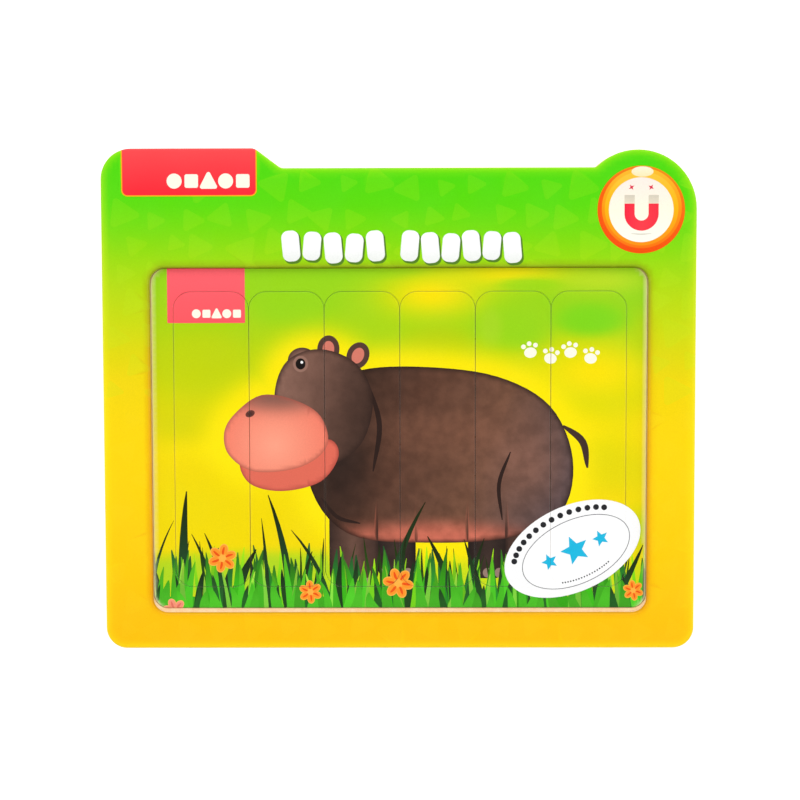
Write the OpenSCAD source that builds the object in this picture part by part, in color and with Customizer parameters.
// Magnetic stick puzzle in a foam tray.
//
// The tray is a foam base, a thin steel sheet and a raised foam frame with a
// printed film. Its window holds a picture panel, which is die-cut into a loose
// surround and a row of upright sticks. Each of these is a printed film on foam
// on a soft magnet sheet, so it holds on to the steel and lifts straight out.
//
// Millimetres. The part lies on its back: +X runs along the width, +Y towards
// the top of the picture, and +Z out of the face. The origin is on the back
// face, at the middle of the footprint.

/* [Board outline] */
// Overall width
board_w = 180; // [174:1:190]
// Overall height, up to the top of the tab
board_h = 152.5; // [150:0.5:158]
// Radius of the two bottom corners
board_corner_r = 6.4; // [4:0.2:12]
// How far the top edge lies below the tab
top_step = 6; // [4:0.1:8]
// Radius of the tab's outer corner
tab_corner_r = 9.2; // [6:0.5:14]
// Length of the tab's flat top, with its corner
tab_w = 45.5; // [30:0.1:60]
// Angle of the slope from the tab down to the top edge
tab_slope_angle = 37; // [30:1:50]
// Radius of the bends at both ends of that slope
tab_bend_r = 3; // [2:0.5:5]
// Radius of the round bump in the other corner
bump_r = 17.8; // [14:0.1:20]
// How far the top of the bump lies below the tab
bump_drop = 0.7; // [0:0.1:2]
// Radius of the fillet between the top edge and the bump
bump_fillet_r = 1.5; // [1:0.5:4]

/* [Window and picture panel] */
// Width of the window through the frame's foam
window_w = 151.5; // [151.4:0.1:154]
// Height of the window
window_h = 104.8; // [104.6:0.1:106]
// Height of the window's middle, from the middle of the board
window_y = -12.1; // [-12.3:0.05:-11.9]
// How far the frame's film stays back from the window, at each side
film_setback = 0.3; // [0:0.05:0.6]
// Width of the picture panel
panel_w = 151; // [146:0.1:151]
// Height of the picture panel
panel_h = 104.2; // [100:0.1:104.2]
// Height of the panel's middle, from the middle of the board
panel_y = -12; // [-12.2:0.05:-11.8]
// Radius of the panel's corners
panel_corner_r = 4.4; // [3:0.1:6]

/* [Sticks] */
// Distance from one stick to the next
stick_pitch = 23; // [22:0.05:23.5]
// Length of a stick
stick_l = 90.4; // [80:0.1:92]
// How far the row of sticks lies to the right of the middle
stick_row_x = 0.25; // [-0.5:0.05:0.5]
// Height of the sticks' middle, from the middle of the board
stick_y = -12.3; // [-13:0.05:-11]
// Radius of a stick's corners
stick_corner_r = 5.3; // [3:0.1:8]
// Width of the cut between two pieces
cut_w = 0.25; // [0.2:0.01:0.4]

/* [Thicknesses] */
// Foam base
base_t = 2; // [1:0.1:4]
// Steel sheet on the window's floor
steel_t = 0.3; // [0.2:0.05:0.5]
// Foam of the raised frame
frame_foam_t = 5; // [4.5:0.1:8]
// Magnet sheet under the panel's pieces
magnet_t = 0.6; // [0.4:0.05:1]
// Foam of the panel's pieces
panel_foam_t = 2.2; // [1.5:0.1:3]
// Printed film
film_t = 0.2; // [0.1:0.05:0.3]
// Paper sticker
sticker_t = 0.1; // [0.05:0.05:0.2]

/* [Oval sticker] */
// Half of the oval's long axis
sticker_a = 22.1; // [18:0.1:23]
// Half of the oval's short axis
sticker_b = 13.2; // [10:0.1:14]
// Turn of the long axis from the horizontal
sticker_angle = 25; // [15:1:30]
// Middle of the oval
sticker_centre = [53, -45.9];

/* [Hidden] */
stick_count = 6;
STICKS = [1 : stick_count];
$fn = 64;

// Outline
left = -board_w / 2;
right = board_w / 2;
bottom = -board_h / 2;
top = board_h / 2;
top_edge = top - top_step;
arc_step = 5;

// Panel and sticks
stick_w = stick_pitch - cut_w;
pocket_clearance = cut_w - 0.05;
steel_gap = 0.2;
window_corner_r = panel_corner_r + (window_w - panel_w) / 2;

// Heights of the layers' undersides
steel_z = base_t;
frame_z = base_t;
frame_film_z = frame_z + frame_foam_t;
panel_z = steel_z + steel_t;
panel_foam_z = panel_z + magnet_t;
panel_film_z = panel_foam_z + panel_foam_t;
sticker_z = panel_film_z + film_t;

// Colours
foam_colour = [0.99, 0.80, 0.56];
magnet_colour = [0.16, 0.13, 0.12];
steel_colour = [0.72, 0.73, 0.75];
frame_print_colour = [0.62, 0.85, 0.10];
panel_print_colour = [0.85, 0.85, 0.12];
sticker_colour = [0.96, 0.96, 0.96];

// Rectangle with round corners, about the origin.
module rounded_rect(w, h, r) {
    square([w - 2 * r, h], center = true);
    square([w, h - 2 * r], center = true);
    for (sx = [-1, 1], sy = [-1, 1])
        translate([sx * (w / 2 - r), sy * (h / 2 - r)]) circle(r);
}

// A flat layer of a 2D outline, from z up.
module layer(z, t) {
    translate([0, 0, z]) linear_extrude(t) children();
}

// Points along an arc, from one angle to another.
function arc(centre, r, from, to) =
    let (steps = ceil(abs(to - from) / arc_step))
    [for (k = [0 : steps]) let (a = from + (to - from) * k / steps) centre + r * [cos(a), sin(a)]];

// Clockwise from the left edge: the tab's corner, the slope with its two bends,
// the fillet into the bump, the bump, and the two bottom corners.
module board_outline() {
    run = [sin(tab_slope_angle), cos(tab_slope_angle)] * tab_bend_r;
    slope_w = (top_step - 2 * (tab_bend_r - run.y)) / tan(tab_slope_angle);
    upper = [left + tab_w, top - tab_bend_r];
    lower = [upper.x + 2 * run.x + slope_w, top_edge + tab_bend_r];

    bump = [right - bump_r, top - bump_drop - bump_r];
    fillet_y = top_edge + bump_fillet_r;
    fillet_x = bump.x - sqrt(pow(bump_r + bump_fillet_r, 2) - pow(fillet_y - bump.y, 2));
    fillet_angle = atan2(bump.y - fillet_y, bump.x - fillet_x);

    polygon(concat(
        arc([left + tab_corner_r, top - tab_corner_r], tab_corner_r, 180, 90),
        arc(upper, tab_bend_r, 90, 90 - tab_slope_angle),
        arc(lower, tab_bend_r, 270 - tab_slope_angle, 270),
        arc([fillet_x, fillet_y], bump_fillet_r, -90, fillet_angle),
        arc(bump, bump_r, fillet_angle + 180, 0),
        arc([right - board_corner_r, bottom + board_corner_r], board_corner_r, 0, -90),
        arc([left + board_corner_r, bottom + board_corner_r], board_corner_r, -90, -180)
    ));
}

module window_outline(grow = 0) {
    translate([0, window_y])
        rounded_rect(window_w + 2 * grow, window_h + 2 * grow, window_corner_r + grow);
}

module panel_outline() {
    translate([0, panel_y]) rounded_rect(panel_w, panel_h, panel_corner_r);
}

function stick_x(i) = stick_row_x + (i - (stick_count + 1) / 2) * stick_pitch;

module stick_outline(i, grow = 0) {
    translate([stick_x(i), stick_y])
        rounded_rect(stick_w + 2 * grow, stick_l + 2 * grow, stick_corner_r + grow);
}

// The surround: the panel without the pocket that all the sticks share.
module surround_outline() {
    difference() {
        panel_outline();
        for (i = STICKS) stick_outline(i, pocket_clearance);
    }
}

module sticker_outline() {
    steps = 72;
    translate(sticker_centre) rotate(sticker_angle)
        polygon([for (k = [0 : steps - 1])
            [sticker_a * cos(k * 360 / steps), sticker_b * sin(k * 360 / steps)]]);
}

// Tray

module base_board() {
    color(foam_colour) layer(0, base_t) board_outline();
}

module iron_sheet() {
    color(steel_colour) layer(steel_z, steel_t) window_outline(-steel_gap);
}

module frame_ring(setback = 0) {
    difference() {
        board_outline();
        window_outline(setback);
    }
}

module frame_foam() {
    color(foam_colour) layer(frame_z, frame_foam_t) frame_ring();
}

module frame_film() {
    color(frame_print_colour) layer(frame_film_z, film_t) frame_ring(film_setback);
}

// Surround of the picture panel

module surround_magnet() {
    color(magnet_colour) layer(panel_z, magnet_t) surround_outline();
}

module surround_foam() {
    color(foam_colour) layer(panel_foam_z, panel_foam_t) surround_outline();
}

module surround_film() {
    color(panel_print_colour) layer(panel_film_z, film_t) surround_outline();
}

// One stick of the picture panel

module stick_magnet(i) {
    color(magnet_colour) layer(panel_z, magnet_t) stick_outline(i);
}

module stick_foam(i) {
    color(foam_colour) layer(panel_foam_z, panel_foam_t) stick_outline(i);
}

module stick_film(i) {
    color(panel_print_colour) layer(panel_film_z, film_t) stick_outline(i);
}

// The oval paper sticker, slit along the cuts so that each piece keeps its share

module sticker_on_surround() {
    color(sticker_colour) layer(sticker_z, sticker_t) intersection() {
        sticker_outline();
        surround_outline();
    }
}

module sticker_on_stick(i) {
    color(sticker_colour) layer(sticker_z, sticker_t) intersection() {
        sticker_outline();
        stick_outline(i);
    }
}

base_board();
iron_sheet();
frame_foam();
frame_film();
surround_magnet();
surround_foam();
surround_film();
for (i = STICKS) {
    stick_magnet(i);
    stick_foam(i);
    stick_film(i);
}
sticker_on_surround();
for (i = [5, 6])
    sticker_on_stick(i);
